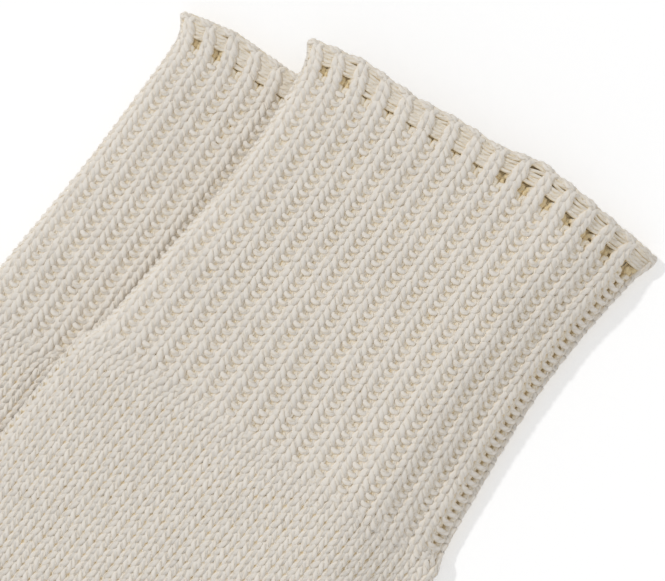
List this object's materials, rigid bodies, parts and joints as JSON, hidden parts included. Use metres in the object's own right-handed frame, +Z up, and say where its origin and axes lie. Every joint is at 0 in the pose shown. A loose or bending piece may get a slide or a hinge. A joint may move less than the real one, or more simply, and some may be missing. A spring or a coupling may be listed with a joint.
{
  "type": "pair of boot socks",
  "caption": "Pair of thick wool boot socks with deep ribbed cuffs, lying flat with one partly over the other.",
  "frame": {"origin": "middle of the pair's footprint, on the surface that the pair lies on", "axes": "+Z up, away from the surface that the socks lie on; +Y up the legs, toward the cuffs; the toes point toward -X"},
  "size_m": [0.2782, 0.4138, 0.018],
  "materials": {
    "rib_knit": "cream wool, 1x1 rib of plied yarn, matt with a slight fuzz",
    "plain_knit": "cream wool, plain knit of plied yarn, matt with a slight fuzz"
  },
  "bodies": {
    "root": {"lower_cuff": "rib_knit", "lower_leg": "plain_knit", "lower_heel": "plain_knit", "lower_foot": "plain_knit", "lower_toe": "plain_knit", "upper_cuff": "rib_knit", "upper_leg": "plain_knit", "upper_heel": "plain_knit", "upper_foot": "plain_knit", "upper_toe": "plain_knit"}
  },
  "joints": []
}
